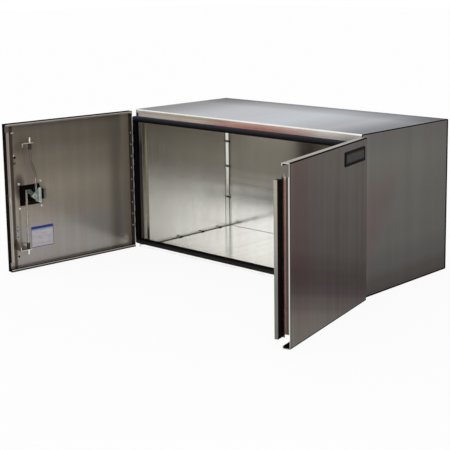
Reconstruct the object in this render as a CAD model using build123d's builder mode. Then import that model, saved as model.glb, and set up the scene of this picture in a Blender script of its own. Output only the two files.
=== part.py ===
from build123d import *
import os
from math import radians, sin

# Underbody truck tool box with two side-hinged doors, in millimetres.
# +X is to the right, +Y to the back and +Z up. The origin is the middle of the
# bottom face. Every piece is drawn with the doors shut, and the pieces of each
# door then swing to the open angle at which the box rests.

os.makedirs("parts", exist_ok=True)

# Driving sizes of the box
body_width = 1219.2
body_depth = 560.0
body_height = 609.6
wrap_wall = 2.5
wrap_bend = 4.5
front_lip = 15.0
end_wall = 2.5
end_flange = 12.0
running_gap = 0.3
cut_overrun = 5.0

# Opening frame: a margin plate, a collar that stands out of the front and two jambs
frame_wall = 2.0
jamb_depth = 46.0
jamb_flange = 9.0

# Bulb seal on the edge of the collar
seal_side_margin = 20.0
seal_top_margin = 25.0
seal_bottom_margin = 29.0
seal_width = 23.0
seal_depth = 16.0
seal_corner = 7.0
seal_round = 4.5
seal_groove_width = 4.0
seal_groove_depth = 1.6
seal_grip_depth = 11.8
seal_door_gap = 0.8

# Doors
door_standoff = 44.0
door_depth = 28.0
door_wall = 2.0
door_bend = 3.5
door_top_gap = 6.6
door_bottom_gap = 5.0
door_centre_gap = 3.6
door_split_x = 3.2
rim_lip = 9.5
free_lip = 12.0
notch_clearance = 2.0
notch_step_gap = 0.7
left_door_open = 95.0
right_door_open = 103.6

# Slot in the free edge of the left door
edge_slot_length = 40.0
edge_slot_width = 9.0
edge_slot_inset = 9.0

# Overlap strip on the right door, with its flat seal
strip_wall = 1.5
strip_reach = 28.5
strip_seal_thickness = 11.7
strip_bottom_gap = 2.5
strip_top_gap = 8.5
strip_rivet_count = 7

# Continuous hinges
hinge_length = 483.0
hinge_pitch = 50.8
hinge_rivet_count = 9
knuckle_count = 19
knuckle_gap = 0.4
knuckle_radius = 4.0
hinge_pin_radius = 2.0
hinge_pin_clearance = 0.05
hinge_pin_stub = 1.5
hinge_leaf_wall = 1.5
hinge_leaf_gap = 2.0
hinge_side_gap = 0.3
pin_standoff = 14.5
pin_overhang = 2.0
rivet_head_radius = 3.6
rivet_head_height = 1.6

# Latch dish and its bolts
latch_from_edge = 111.0
dish_plate_length = 128.0
dish_plate_height = 122.0
dish_plate_corner = 9.0
dish_wall = 1.5
dish_rim_x = 18.0
dish_rim_z = 19.0
dish_taper_x = 2.0
dish_taper_z = 21.0
dish_depth = 26.0
dish_bolt_inset_x = 14.0
dish_bolt_inset_z = 10.5
dish_bolt_radius = 3.0
dish_bolt_head_radius = 5.5
dish_bolt_head_height = 3.0
dish_nut_across = 10.0
dish_nut_height = 5.0
bolt_clearance = 0.2
housing_length = 16.5

# T handle, spindle and lock
grip_length = 57.0
grip_width = 13.0
grip_proud = 6.0
grip_sink = 8.0
grip_chamfer = 2.5
handle_neck_radius = 9.0
spindle_radius = 7.0
spindle_clearance = 0.06
spindle_flat = 9.0
lock_radius = 6.0
lock_depth = 18.0
plug_radius = 4.2
plug_clearance = 0.06
keyway_width = 1.4
keyway_length = 5.6
keyway_depth = 4.0

# Cam and its pins
cam_wall = 3.0
cam_pin_reach = 28.3
cam_pin_radius = 3.0
cam_gap = 0.5
cam_ear_radius = 8.0
cam_hub_radius = 12.0
cam_nose_reach = 18.0
cam_wing_reach = 27.0
cam_wing_height = 64.0
cam_flange_height = 9.0
cam_corner = 3.0
handle_turn = 90.0
spindle_nut_across = 16.0
spindle_nut_height = 6.0

# Lock rods and their guides
rod_radius = 4.0
rod_dish_gap = 1.25
upper_rod_offset = 12.0
lower_rod_offset = 33.0
rod_tip_inset = 61.0
rod_tip_chamfer = 2.0
rod_flat_wall = 3.0
rod_flat_width = 8.0
rod_flat_reach = 52.0
rod_slot_clearance = 1.0
rod_eye_margin = 3.5
rod_joggle = 19.6
rod_joggle_start = 90.0
rod_joggle_end = 140.0
rod_bend_radius = 16.0
guide_tip_gap = 23.0
guide_wall = 2.0
guide_width = 50.0
guide_rim = 9.0
guide_shift = 13.5
guide_foot = 22.0
guide_gusset = 45.0
guide_hole_clearance = 0.6
guide_rivet_pitch = 34.0
bush_length = 26.0
bush_wall = 2.75
bush_clearance = 0.08
strike_clearance = 1.5

# Places worked out from the sizes above
front_y = -body_depth / 2
door_face_y = front_y - door_standoff
hinge_pin_x = -body_width / 2 - pin_overhang
hinge_pin_y = front_y - pin_standoff
door_left_x = hinge_pin_x + knuckle_radius + hinge_side_gap
left_edge_x = door_split_x - door_centre_gap / 2
right_edge_x = door_split_x + door_centre_gap / 2
door_bottom_z = door_bottom_gap
door_top_z = body_height - door_top_gap
door_height = door_top_z - door_bottom_z
door_middle_z = (door_top_z + door_bottom_z) / 2

# The collar carries the seal to just short of the inner face of the doors
collar_reach = door_standoff - door_wall - seal_door_gap - seal_depth + seal_grip_depth
seal_back_depth = door_wall + seal_door_gap + seal_depth + notch_step_gap
leaf_start = knuckle_radius + knuckle_gap
hinge_leaf_width = door_standoff - pin_standoff - leaf_start - door_bend - hinge_leaf_gap

front_plane = Plane.XZ.offset(-front_y)
door_plane = Plane.XZ.offset(-door_face_y)

# The trim hides the collar edge in its middle, so the collar follows the trim
grip_inset = (seal_width - frame_wall) / 2
collar_left_x = -body_width / 2 + seal_side_margin + grip_inset
collar_top_z = body_height - seal_top_margin - grip_inset
collar_bottom_z = seal_bottom_margin + grip_inset
collar_width = -2 * collar_left_x
collar_height = collar_top_z - collar_bottom_z
collar_middle_z = (collar_top_z + collar_bottom_z) / 2
seal_bottom_z = seal_bottom_margin + seal_width
seal_top_z = body_height - seal_top_margin - seal_width

hinge_bottom_z = door_middle_z - hinge_length / 2
knuckle_pitch = hinge_length / knuckle_count
knuckle_bore = hinge_pin_radius + hinge_pin_clearance

latch_x = left_edge_x - latch_from_edge
latch_z = door_middle_z
cam_pin_offset = cam_pin_reach * sin(radians(handle_turn / 2))
dish_mouth_length = dish_plate_length - 2 * dish_rim_x
dish_mouth_height = dish_plate_height - 2 * dish_rim_z
dish_floor_length = dish_mouth_length - 2 * dish_taper_x
dish_floor_height = dish_mouth_height - 2 * dish_taper_z
dish_bolt_pitch_x = dish_plate_length - 2 * dish_bolt_inset_x
dish_bolt_pitch_z = dish_plate_height - 2 * dish_bolt_inset_z

rod_depth = dish_depth + rod_dish_gap + rod_radius
rod_tip_reach = door_height / 2 - rod_tip_inset
guide_reach = rod_tip_reach - guide_tip_gap
guide_depth = rod_depth + guide_rim
bush_radius = rod_radius + bush_wall
cam_depth = rod_depth + rod_flat_wall / 2 + cam_gap

left_hinge_line = Axis((hinge_pin_x, hinge_pin_y, 0), (0, 0, 1))
right_hinge_line = Axis((-hinge_pin_x, hinge_pin_y, 0), (0, 0, 1))


def at_depth(depth):
    # A drawing plane that looks forward, at a depth behind the door's outer face
    return door_plane.offset(-depth)


def swing_left(piece):
    piece.part = piece.part.rotate(left_hinge_line, -left_door_open)


def swing_right(piece):
    piece.part = piece.part.rotate(right_hinge_line, right_door_open)


def write(piece, name):
    piece.part.label = name
    export_step(piece.part, f"parts/{name}.step")


def rivet_rows(count, pitch, middle):
    # Heights of a row of rivets about its middle
    return [middle + pitch * (index - (count - 1) / 2) for index in range(count)]


hinge_rivet_heights = rivet_rows(hinge_rivet_count, hinge_pitch, door_middle_z)


# Body wrap: one folded sheet makes the top, back and floor, with a lip along the front
with BuildPart() as body_wrap:
    with BuildSketch(Plane.YZ):
        with Locations((0, body_height / 2)):
            RectangleRounded(body_depth, body_height, wrap_bend)
            RectangleRounded(body_depth - 2 * wrap_wall, body_height - 2 * wrap_wall,
                             wrap_bend - wrap_wall, mode=Mode.SUBTRACT)
        with Locations((front_y, body_height / 2)):
            Rectangle(2 * wrap_bend, body_height - 2 * front_lip, mode=Mode.SUBTRACT)
    extrude(amount=body_width / 2, both=True)
write(body_wrap, "body_wrap")


# End panels: a flat sheet with flanges that lie inside the wrap at the top, back and floor,
# and one along the front between the wrap's lips
def end_panel(side):
    clear_depth = body_depth - 2 * wrap_wall
    clear_height = body_height - 2 * wrap_wall
    inner_bend = wrap_bend - wrap_wall
    outer_x = side * body_width / 2
    with BuildPart() as panel:
        # The sheet reaches forward to the front, between the wrap's two lips
        with BuildSketch(Plane.YZ.offset(outer_x)):
            with Locations((0, body_height / 2)):
                RectangleRounded(clear_depth, clear_height, inner_bend)
            with Locations((front_y + wrap_bend / 2, body_height / 2)):
                Rectangle(wrap_bend, body_height - 2 * front_lip)
        extrude(amount=-side * end_wall)
        with BuildSketch(Plane.YZ.offset(outer_x)):
            with Locations((0, body_height / 2)):
                RectangleRounded(clear_depth, clear_height, inner_bend)
            with Locations((-end_wall, body_height / 2)):
                Rectangle(clear_depth, clear_height - 2 * end_wall, mode=Mode.SUBTRACT)
            with Locations((front_y, body_height / 2)):
                Rectangle(2 * (wrap_bend + frame_wall), body_height, mode=Mode.SUBTRACT)
        extrude(amount=-side * end_flange)
        with BuildSketch(front_plane):
            with Locations((side * (body_width - end_flange) / 2, body_height / 2)):
                Rectangle(end_flange, body_height - 2 * front_lip)
        extrude(amount=-end_wall)
    return panel


left_end_panel = end_panel(-1)
right_end_panel = end_panel(1)
write(left_end_panel, "left_end_panel")
write(right_end_panel, "right_end_panel")


# Opening frame: margin plate behind the lips, collar, and a jamb on each end panel
with BuildPart() as opening_frame:
    margin_width = body_width - 2 * end_wall
    margin_height = body_height - 2 * wrap_bend
    with BuildSketch(front_plane.offset(-wrap_wall)):
        with Locations((0, body_height / 2)):
            Rectangle(margin_width, margin_height)
        with Locations((0, collar_middle_z)):
            Rectangle(collar_width - 2 * frame_wall, collar_height - 2 * frame_wall,
                      mode=Mode.SUBTRACT)
    extrude(amount=-frame_wall)
    with BuildSketch(front_plane.offset(-wrap_wall)):
        with Locations((0, collar_middle_z)):
            Rectangle(collar_width, collar_height)
            Rectangle(collar_width - 2 * frame_wall, collar_height - 2 * frame_wall,
                      mode=Mode.SUBTRACT)
    extrude(amount=collar_reach + wrap_wall)
    jamb_height = margin_height - 2 * end_wall
    for side in (-1, 1):
        jamb_x = side * (margin_width - frame_wall) / 2
        with BuildSketch(front_plane.offset(-wrap_wall - frame_wall)):
            with Locations((jamb_x, body_height / 2)):
                Rectangle(frame_wall, jamb_height)
        extrude(amount=-jamb_depth)
        with BuildSketch(front_plane.offset(-wrap_wall - jamb_depth)):
            with Locations((jamb_x - side * (jamb_flange - frame_wall) / 2, body_height / 2)):
                Rectangle(jamb_flange, jamb_height)
        extrude(amount=-frame_wall)
    # Strike holes for the two lock rods
    for rod_x, wall_z in ((latch_x - upper_rod_offset + rod_joggle, collar_top_z),
                          (latch_x + lower_rod_offset, collar_bottom_z)):
        with BuildSketch(Plane.XY.offset(wall_z)):
            with Locations((rod_x, door_face_y + rod_depth)):
                Circle(rod_radius + strike_clearance)
        extrude(amount=2 * frame_wall, both=True, mode=Mode.SUBTRACT)
write(opening_frame, "opening_frame")


# Bulb seal: a soft trim pushed over the front edge of the collar, all the way round
with BuildPart() as door_seal:
    outer_width = collar_width + 2 * grip_inset
    outer_height = collar_height + 2 * grip_inset
    with BuildSketch(front_plane.offset(collar_reach + seal_depth - seal_grip_depth)):
        with Locations((0, collar_middle_z)):
            RectangleRounded(outer_width, outer_height, seal_corner)
            Rectangle(outer_width - 2 * seal_width, outer_height - 2 * seal_width,
                      mode=Mode.SUBTRACT)
    extrude(amount=-seal_depth)
    fillet(door_seal.faces().sort_by(Axis.Y)[0].edges(), seal_round)
    with BuildSketch(front_plane.offset(collar_reach + seal_depth - seal_grip_depth)):
        with Locations((0, collar_middle_z)):
            Rectangle(collar_width + seal_groove_width - frame_wall,
                      collar_height + seal_groove_width - frame_wall)
            Rectangle(collar_width - seal_groove_width - frame_wall,
                      collar_height - seal_groove_width - frame_wall, mode=Mode.SUBTRACT)
    extrude(amount=-seal_groove_depth, mode=Mode.SUBTRACT)
    with BuildSketch(front_plane.offset(collar_reach)):
        with Locations((0, collar_middle_z)):
            Rectangle(collar_width, collar_height)
            Rectangle(collar_width - 2 * frame_wall, collar_height - 2 * frame_wall,
                      mode=Mode.SUBTRACT)
    extrude(amount=-seal_depth, mode=Mode.SUBTRACT)
write(door_seal, "door_seal")


# Door pan: a shallow tray with rounded folds and a lip along its top and bottom flange.
# The flange of the free edge is stepped at both ends, so that it clears the seal and
# the collar, and leaves the ends of the top and bottom channels open.
def door_pan(side, edge_x, back_lip):
    # Drawn on the left, and mirrored for the right door
    middle_x = (door_left_x + edge_x) / 2
    length = edge_x - door_left_x
    with BuildPart() as pan:
        with BuildSketch(door_plane):
            with Locations((middle_x, door_middle_z)):
                Rectangle(length, door_height)
        extrude(amount=-door_depth)
        fillet(pan.faces().sort_by(Axis.Y)[0].edges(), door_bend)
        fillet(pan.edges().filter_by(Axis.Y), door_bend / 2)
        # The hollow, left with a lip at the back along the top and bottom
        with BuildSketch(at_depth(door_wall)):
            with Locations((middle_x, door_middle_z)):
                Rectangle(length - 2 * door_wall, door_height - 2 * door_wall)
        extrude(amount=-(door_depth - 2 * door_wall), mode=Mode.SUBTRACT)
        back_left_x = door_left_x + door_wall
        back_right_x = edge_x - back_lip
        with BuildSketch(at_depth(door_depth - door_wall)):
            with Locations(((back_left_x + back_right_x) / 2, door_middle_z)):
                Rectangle(back_right_x - back_left_x, door_height - 2 * rim_lip)
        extrude(amount=-(door_wall + cut_overrun), mode=Mode.SUBTRACT)
        # Steps of the free edge: the channel's mouth, the seal and the collar
        for end, seal_z, collar_z in ((-1, seal_bottom_z, collar_bottom_z + frame_wall),
                                      (1, seal_top_z, collar_top_z - frame_wall)):
            skin_z = door_middle_z + end * (door_height / 2 - door_wall)
            lip_z = door_middle_z + end * (door_height / 2 - rim_lip)
            seal_step_z = seal_z - end * notch_clearance
            collar_step_z = collar_z - end * strip_bottom_gap
            for first_z, last_z, reach, first, last in (
                    (skin_z, lip_z, door_wall, door_wall, door_depth - door_wall),
                    (lip_z, seal_step_z, back_lip, door_wall, seal_back_depth),
                    (lip_z, collar_step_z, back_lip, seal_back_depth, door_depth)):
                with BuildSketch(at_depth(first)):
                    with Locations((edge_x, (first_z + last_z) / 2)):
                        Rectangle(2 * reach, abs(first_z - last_z))
                extrude(amount=first - last, mode=Mode.SUBTRACT)
        if side < 0:
            # Mouth for the latch dish, its bolt holes and the slot in the free edge
            with BuildSketch(door_plane):
                with Locations((latch_x, latch_z)):
                    Rectangle(dish_mouth_length + bolt_clearance, dish_mouth_height + bolt_clearance)
                    with GridLocations(dish_bolt_pitch_x, dish_bolt_pitch_z, 2, 2):
                        Circle(dish_bolt_radius + bolt_clearance)
            extrude(amount=-2 * door_wall, mode=Mode.SUBTRACT)
            with BuildSketch(Plane.YZ.offset(edge_x)):
                with Locations((door_face_y + door_depth - edge_slot_inset, latch_z)):
                    SlotOverall(edge_slot_length, edge_slot_width, rotation=90)
            extrude(amount=2 * door_wall, both=True, mode=Mode.SUBTRACT)
        else:
            mirror(about=Plane.YZ, mode=Mode.REPLACE)
    return pan


left_door_panel = door_pan(-1, left_edge_x, free_lip)
right_door_panel = door_pan(1, -right_edge_x, door_wall)


# Hinge leaves. A knuckle is a short tube with a web to its own leaf.
def knuckle_heights(own):
    first = 0 if own == "body" else 1
    return [hinge_bottom_z + knuckle_pitch * index for index in range(first, knuckle_count, 2)]


# Both leaves lie in the plane of the door's outer side, one ahead of the pin and one behind
leaf_x = door_left_x - hinge_leaf_wall / 2
body_foot_end_x = -body_width / 2 + end_flange
body_foot_width = body_foot_end_x - door_left_x + hinge_leaf_wall


def hinge_leaf(own, direction, plate_width):
    # direction is 1 for the leaf that runs back to the body and -1 for the door's
    plate_y = hinge_pin_y + direction * leaf_start
    with BuildPart() as leaf:
        with BuildSketch(Plane.XY.offset(hinge_bottom_z)):
            with Locations((leaf_x, plate_y + direction * plate_width / 2)):
                Rectangle(hinge_leaf_wall, plate_width)
            if own == "body":
                with Locations((body_foot_end_x - body_foot_width / 2, front_y - hinge_leaf_wall / 2)):
                    Rectangle(body_foot_width, hinge_leaf_wall)
        extrude(amount=hinge_length)
        for height in knuckle_heights(own):
            with BuildSketch(Plane.XY.offset(height + knuckle_gap / 2)):
                with Locations((hinge_pin_x, hinge_pin_y)):
                    Circle(knuckle_radius)
                with Locations((leaf_x, (hinge_pin_y + plate_y) / 2)):
                    Rectangle(hinge_leaf_wall, leaf_start)
                with Locations((hinge_pin_x, hinge_pin_y)):
                    Circle(knuckle_bore, mode=Mode.SUBTRACT)
            extrude(amount=knuckle_pitch - knuckle_gap)
    return leaf


def body_leaf(side):
    leaf = hinge_leaf("body", 1, pin_standoff - leaf_start)
    if side > 0:
        leaf.part = leaf.part.mirror(Plane.YZ)
    return leaf


def door_leaf(side):
    leaf = hinge_leaf("door", -1, hinge_leaf_width)
    if side > 0:
        leaf.part = leaf.part.mirror(Plane.YZ)
    return leaf


def hinge_pin(side):
    with BuildPart() as pin:
        with BuildSketch(Plane.XY.offset(hinge_bottom_z - hinge_pin_stub)):
            with Locations((-side * hinge_pin_x, hinge_pin_y)):
                Circle(hinge_pin_radius)
        extrude(amount=hinge_length + 2 * hinge_pin_stub)
    return pin


def rivet_heads(plane, places, axis, outer):
    # Heads that stand on a plane; outer is -1 or 0, for the last or first faces along the axis
    with BuildPart() as rivets:
        with BuildSketch(plane):
            with Locations(*places):
                Circle(rivet_head_radius)
        extrude(amount=rivet_head_height)
        chamfer(rivets.faces().filter_by(axis).group_by(axis)[outer].edges(), rivet_head_height / 2)
    return rivets


door_rivet_y = hinge_pin_y - leaf_start - hinge_leaf_width / 2
body_rivet_x = (body_foot_end_x + door_left_x) / 2


def door_leaf_rivets(side):
    plane = Plane.YZ.offset(-side * (door_left_x + door_wall))
    if side > 0:
        plane = Plane(plane.origin, x_dir=(0, -1, 0), z_dir=(-1, 0, 0))
    return rivet_heads(plane, [(-side * door_rivet_y, height) for height in hinge_rivet_heights],
                       Axis.X, -1 if side < 0 else 0)


def body_leaf_rivets(side):
    return rivet_heads(front_plane.offset(hinge_leaf_wall),
                       [(-side * body_rivet_x, height) for height in hinge_rivet_heights], Axis.Y, 0)


left_body_leaf, right_body_leaf = body_leaf(-1), body_leaf(1)
left_door_leaf, right_door_leaf = door_leaf(-1), door_leaf(1)
left_hinge_pin, right_hinge_pin = hinge_pin(-1), hinge_pin(1)
left_body_leaf_rivets, right_body_leaf_rivets = body_leaf_rivets(-1), body_leaf_rivets(1)
left_door_leaf_rivets, right_door_leaf_rivets = door_leaf_rivets(-1), door_leaf_rivets(1)


# Overlap strip: a channel on the free edge of the right door. Its leg is riveted to the
# edge, its web reaches behind the left door and its lip comes forward again.
strip_web_depth = door_depth + running_gap + strip_seal_thickness
strip_bottom_z = collar_bottom_z + frame_wall + strip_bottom_gap
strip_top_z = seal_top_z - strip_top_gap
strip_height = strip_top_z - strip_bottom_z
strip_tip_x = right_edge_x - strip_reach
with BuildPart() as overlap_strip:
    leg_length = strip_web_depth + strip_wall - seal_back_depth
    lip_length = strip_seal_thickness + strip_wall
    strip_back_y = door_face_y + strip_web_depth + strip_wall
    with BuildSketch(Plane.XY.offset(strip_bottom_z)):
        with Locations((right_edge_x - strip_wall / 2, strip_back_y - leg_length / 2)):
            Rectangle(strip_wall, leg_length)
        with Locations((right_edge_x - strip_reach / 2, strip_back_y - strip_wall / 2)):
            Rectangle(strip_reach, strip_wall)
        with Locations((strip_tip_x + strip_wall / 2, strip_back_y - lip_length / 2)):
            Rectangle(strip_wall, lip_length)
    extrude(amount=strip_height)
    fillet(overlap_strip.edges().filter_by(Axis.Z).group_by(Axis.X)[0].sort_by(Axis.Y)[-1], strip_wall)

# The seal fills the channel, a little short of the tip of its lip
with BuildPart() as overlap_seal:
    seal_left_x = strip_tip_x + strip_wall
    seal_right_x = right_edge_x - strip_wall
    with BuildSketch(Plane.XY.offset(strip_bottom_z)):
        with Locations(((seal_left_x + seal_right_x) / 2,
                        door_face_y + strip_web_depth - strip_seal_thickness / 2)):
            Rectangle(seal_right_x - seal_left_x, strip_seal_thickness)
    extrude(amount=strip_height)
    chamfer(overlap_seal.edges().filter_by(Axis.Z).group_by(Axis.Y)[0], strip_wall)

with BuildPart() as overlap_strip_rivets:
    rivet_pitch = strip_height / strip_rivet_count
    rivet_y = door_face_y + (seal_back_depth + door_depth) / 2
    strip_middle_z = (strip_bottom_z + strip_top_z) / 2
    with BuildSketch(Plane.YZ.offset(right_edge_x + door_wall)):
        with Locations(*[(rivet_y, height)
                         for height in rivet_rows(strip_rivet_count, rivet_pitch, strip_middle_z)]):
            Circle(rivet_head_radius)
    extrude(amount=rivet_head_height)
    chamfer(overlap_strip_rivets.faces().filter_by(Axis.X).group_by(Axis.X)[-1].edges(),
            rivet_head_height / 2)


# Latch dish: an outer plate with a tapered tray behind it
with BuildPart() as latch_dish:
    with BuildSketch(door_plane):
        with Locations((latch_x, latch_z)):
            RectangleRounded(dish_plate_length, dish_plate_height, dish_plate_corner)
    extrude(amount=dish_wall)
    for inset, mode, first, last in ((0, Mode.ADD, -dish_wall, dish_depth),
                                     (dish_wall, Mode.SUBTRACT, -dish_wall, dish_depth - dish_wall)):
        with BuildSketch(at_depth(first)):
            with Locations((latch_x, latch_z)):
                RectangleRounded(dish_mouth_length - 2 * inset, dish_mouth_height - 2 * inset,
                                 dish_plate_corner)
        with BuildSketch(at_depth(last)):
            with Locations((latch_x, latch_z)):
                RectangleRounded(dish_floor_length - 2 * inset, dish_floor_height - 2 * inset,
                                 dish_plate_corner)
        loft(mode=mode)
    with BuildSketch(at_depth(dish_depth + dish_wall)):
        with Locations((latch_x, latch_z)):
            Circle(spindle_radius + spindle_clearance)
    extrude(amount=dish_depth, mode=Mode.SUBTRACT)
    with BuildSketch(door_plane.offset(dish_wall)):
        with Locations((latch_x, latch_z)):
            with GridLocations(dish_bolt_pitch_x, dish_bolt_pitch_z, 2, 2):
                Circle(dish_bolt_radius + bolt_clearance)
    extrude(amount=-2 * dish_wall, mode=Mode.SUBTRACT)

with BuildPart() as dish_bolts:
    with BuildSketch(door_plane.offset(dish_wall)):
        with Locations((latch_x, latch_z)):
            with GridLocations(dish_bolt_pitch_x, dish_bolt_pitch_z, 2, 2):
                Circle(dish_bolt_head_radius)
    extrude(amount=dish_bolt_head_height)
    chamfer(dish_bolts.faces().filter_by(Axis.Y).group_by(Axis.Y)[0].edges(),
            dish_bolt_head_height / 2)
    with BuildSketch(door_plane.offset(dish_wall)):
        with Locations((latch_x, latch_z)):
            with GridLocations(dish_bolt_pitch_x, dish_bolt_pitch_z, 2, 2):
                Circle(dish_bolt_radius)
    extrude(amount=-(dish_wall + door_wall + dish_nut_height + dish_wall))

with BuildPart() as dish_nuts:
    with BuildSketch(at_depth(door_wall)):
        with Locations((latch_x, latch_z)):
            with GridLocations(dish_bolt_pitch_x, dish_bolt_pitch_z, 2, 2):
                RegularPolygon(dish_nut_across / 2, 6, major_radius=False)
                Circle(dish_bolt_radius, mode=Mode.SUBTRACT)
    extrude(amount=-dish_nut_height)


# Housing behind the far end of the dish: a small open box that stands on the door's skin
with BuildPart() as latch_housing:
    housing_x = latch_x - dish_mouth_length / 2 - running_gap - housing_length / 2
    with BuildSketch(at_depth(door_wall)):
        with Locations((housing_x, latch_z)):
            Rectangle(housing_length, dish_floor_height)
    extrude(amount=-(dish_depth - door_wall))
    fillet(latch_housing.faces().sort_by(Axis.Y)[-1].edges(), dish_wall)
    with BuildSketch(at_depth(door_wall)):
        with Locations((housing_x, latch_z)):
            Rectangle(housing_length - 2 * dish_wall, dish_floor_height - 2 * dish_wall)
    extrude(amount=-(dish_depth - door_wall - dish_wall), mode=Mode.SUBTRACT)


# T handle: a grip across a neck, and the spindle that runs through the dish
with BuildPart() as t_handle:
    with BuildSketch(door_plane.offset(grip_proud)):
        with Locations((latch_x, latch_z)):
            SlotOverall(grip_length, grip_width, rotation=90)
    extrude(amount=-(grip_proud + grip_sink))
    chamfer(t_handle.faces().filter_by(Axis.Y).edges(), grip_chamfer)
    with BuildSketch(door_plane.offset(grip_proud)):
        with Locations((latch_x, latch_z)):
            Circle(handle_neck_radius)
    extrude(amount=-(grip_proud + dish_depth - dish_wall - running_gap))
    with BuildSketch(at_depth(grip_sink)):
        with Locations((latch_x, latch_z)):
            Circle(spindle_radius)
    extrude(amount=-(cam_depth - grip_sink))
    with BuildSketch(at_depth(cam_depth)):
        with Locations((latch_x, latch_z)):
            Rectangle(spindle_flat, spindle_flat)
    extrude(amount=-(cam_wall + spindle_nut_height))
    with BuildSketch(door_plane.offset(grip_proud)):
        with Locations((latch_x, latch_z)):
            Circle(lock_radius)
    extrude(amount=-lock_depth, mode=Mode.SUBTRACT)

with BuildPart() as lock_barrel:
    with BuildSketch(door_plane.offset(grip_proud)):
        with Locations((latch_x, latch_z)):
            Circle(lock_radius)
            Circle(plug_radius + plug_clearance, mode=Mode.SUBTRACT)
    extrude(amount=-lock_depth)

with BuildPart() as lock_plug:
    with BuildSketch(door_plane.offset(grip_proud)):
        with Locations((latch_x, latch_z)):
            Circle(plug_radius)
    extrude(amount=-(lock_depth - running_gap))
    with BuildSketch(door_plane.offset(grip_proud)):
        with Locations((latch_x, latch_z)):
            Rectangle(keyway_width, keyway_length)
    extrude(amount=-keyway_depth, mode=Mode.SUBTRACT)


# Cam: a hub on the spindle, a wing with a folded flange, and an ear for each rod pin
with BuildPart() as cam_plate:
    wing_half = cam_wing_height / 2
    with BuildSketch(at_depth(cam_depth)):
        with BuildLine():
            Polyline((latch_x + cam_nose_reach, latch_z),
                     (latch_x - cam_wing_reach, latch_z + wing_half),
                     (latch_x - cam_wing_reach, latch_z - wing_half), close=True)
        make_face()
        with Locations((latch_x, latch_z)):
            Circle(cam_hub_radius)
        with Locations((latch_x + cam_pin_offset / 2, latch_z + cam_pin_offset / 2)):
            SlotCenterToCenter(cam_pin_reach, 2 * cam_ear_radius, rotation=handle_turn / 2)
        with Locations((latch_x, latch_z)):
            Rectangle(spindle_flat, spindle_flat, mode=Mode.SUBTRACT)
        with Locations((latch_x - cam_pin_offset, latch_z - cam_pin_offset),
                       (latch_x + cam_pin_offset, latch_z + cam_pin_offset)):
            Circle(cam_pin_radius, mode=Mode.SUBTRACT)
    extrude(amount=-cam_wall)
    with BuildSketch(at_depth(cam_depth)):
        with Locations((latch_x - cam_wing_reach + cam_wall / 2, latch_z)):
            Rectangle(cam_wall, cam_wing_height)
    extrude(amount=-(cam_wall + cam_flange_height))
    fillet(cam_plate.edges().filter_by(Axis.X).group_by(Axis.Y)[-1], cam_corner)

with BuildPart() as cam_pins:
    with BuildSketch(at_depth(cam_depth + cam_wall)):
        with Locations((latch_x - cam_pin_offset, latch_z - cam_pin_offset),
                       (latch_x + cam_pin_offset, latch_z + cam_pin_offset)):
            Circle(cam_pin_radius)
    extrude(amount=cam_wall + cam_gap + rod_flat_wall + cam_gap)

with BuildPart() as spindle_nut:
    with BuildSketch(at_depth(cam_depth + cam_wall)):
        with Locations((latch_x, latch_z)):
            RegularPolygon(spindle_nut_across / 2, 6, major_radius=False)
            Rectangle(spindle_flat, spindle_flat, mode=Mode.SUBTRACT)
    extrude(amount=-spindle_nut_height)


# Lock rods: a flat end with a cross slot for the cam pin, then a round rod to the tip
slot_inner = cam_pin_offset - cam_pin_radius - rod_slot_clearance
slot_outer = cam_pin_reach + cam_pin_radius + rod_slot_clearance
slot_length = slot_outer - slot_inner
slot_height = 2 * (cam_pin_radius + rod_slot_clearance)
eye_height = slot_height + 2 * rod_eye_margin


def lock_rod(up, offset, joggle):
    # up is 1 for the upper rod and -1 for the lower one
    rod_x = latch_x - up * offset
    slot_x = latch_x - up * (slot_inner + slot_outer) / 2
    slot_z = latch_z - up * cam_pin_offset
    flat_end_z = latch_z + up * rod_flat_reach
    rod_y = door_face_y + rod_depth
    tip_x = rod_x + joggle
    tip_z = latch_z + up * rod_tip_reach
    with BuildPart() as rod:
        with BuildSketch(at_depth(rod_depth - rod_flat_wall / 2)):
            with Locations((rod_x, (slot_z + flat_end_z) / 2)):
                Rectangle(rod_flat_width, abs(flat_end_z - slot_z) + 2 * rod_radius)
            with Locations((slot_x, slot_z)):
                RectangleRounded(slot_length + 2 * rod_eye_margin, eye_height, rod_eye_margin)
                SlotOverall(slot_length, slot_height, mode=Mode.SUBTRACT)
        extrude(amount=-rod_flat_wall)
        with BuildLine() as path:
            if joggle:
                FilletPolyline((rod_x, rod_y, flat_end_z),
                               (rod_x, rod_y, latch_z + up * rod_joggle_start),
                               (tip_x, rod_y, latch_z + up * rod_joggle_end),
                               (tip_x, rod_y, tip_z), radius=rod_bend_radius)
            else:
                Line((rod_x, rod_y, flat_end_z), (rod_x, rod_y, tip_z))
        with BuildSketch(Plane.XY.offset(flat_end_z)):
            with Locations((rod_x, rod_y)):
                Circle(rod_radius)
        sweep(path=path.line)
        chamfer(rod.faces().sort_by(Axis.Z)[-1 if up > 0 else 0].edges(), rod_tip_chamfer)
    return rod


upper_lock_rod = lock_rod(1, upper_rod_offset, rod_joggle)
lower_lock_rod = lock_rod(-1, lower_rod_offset, 0)


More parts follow.
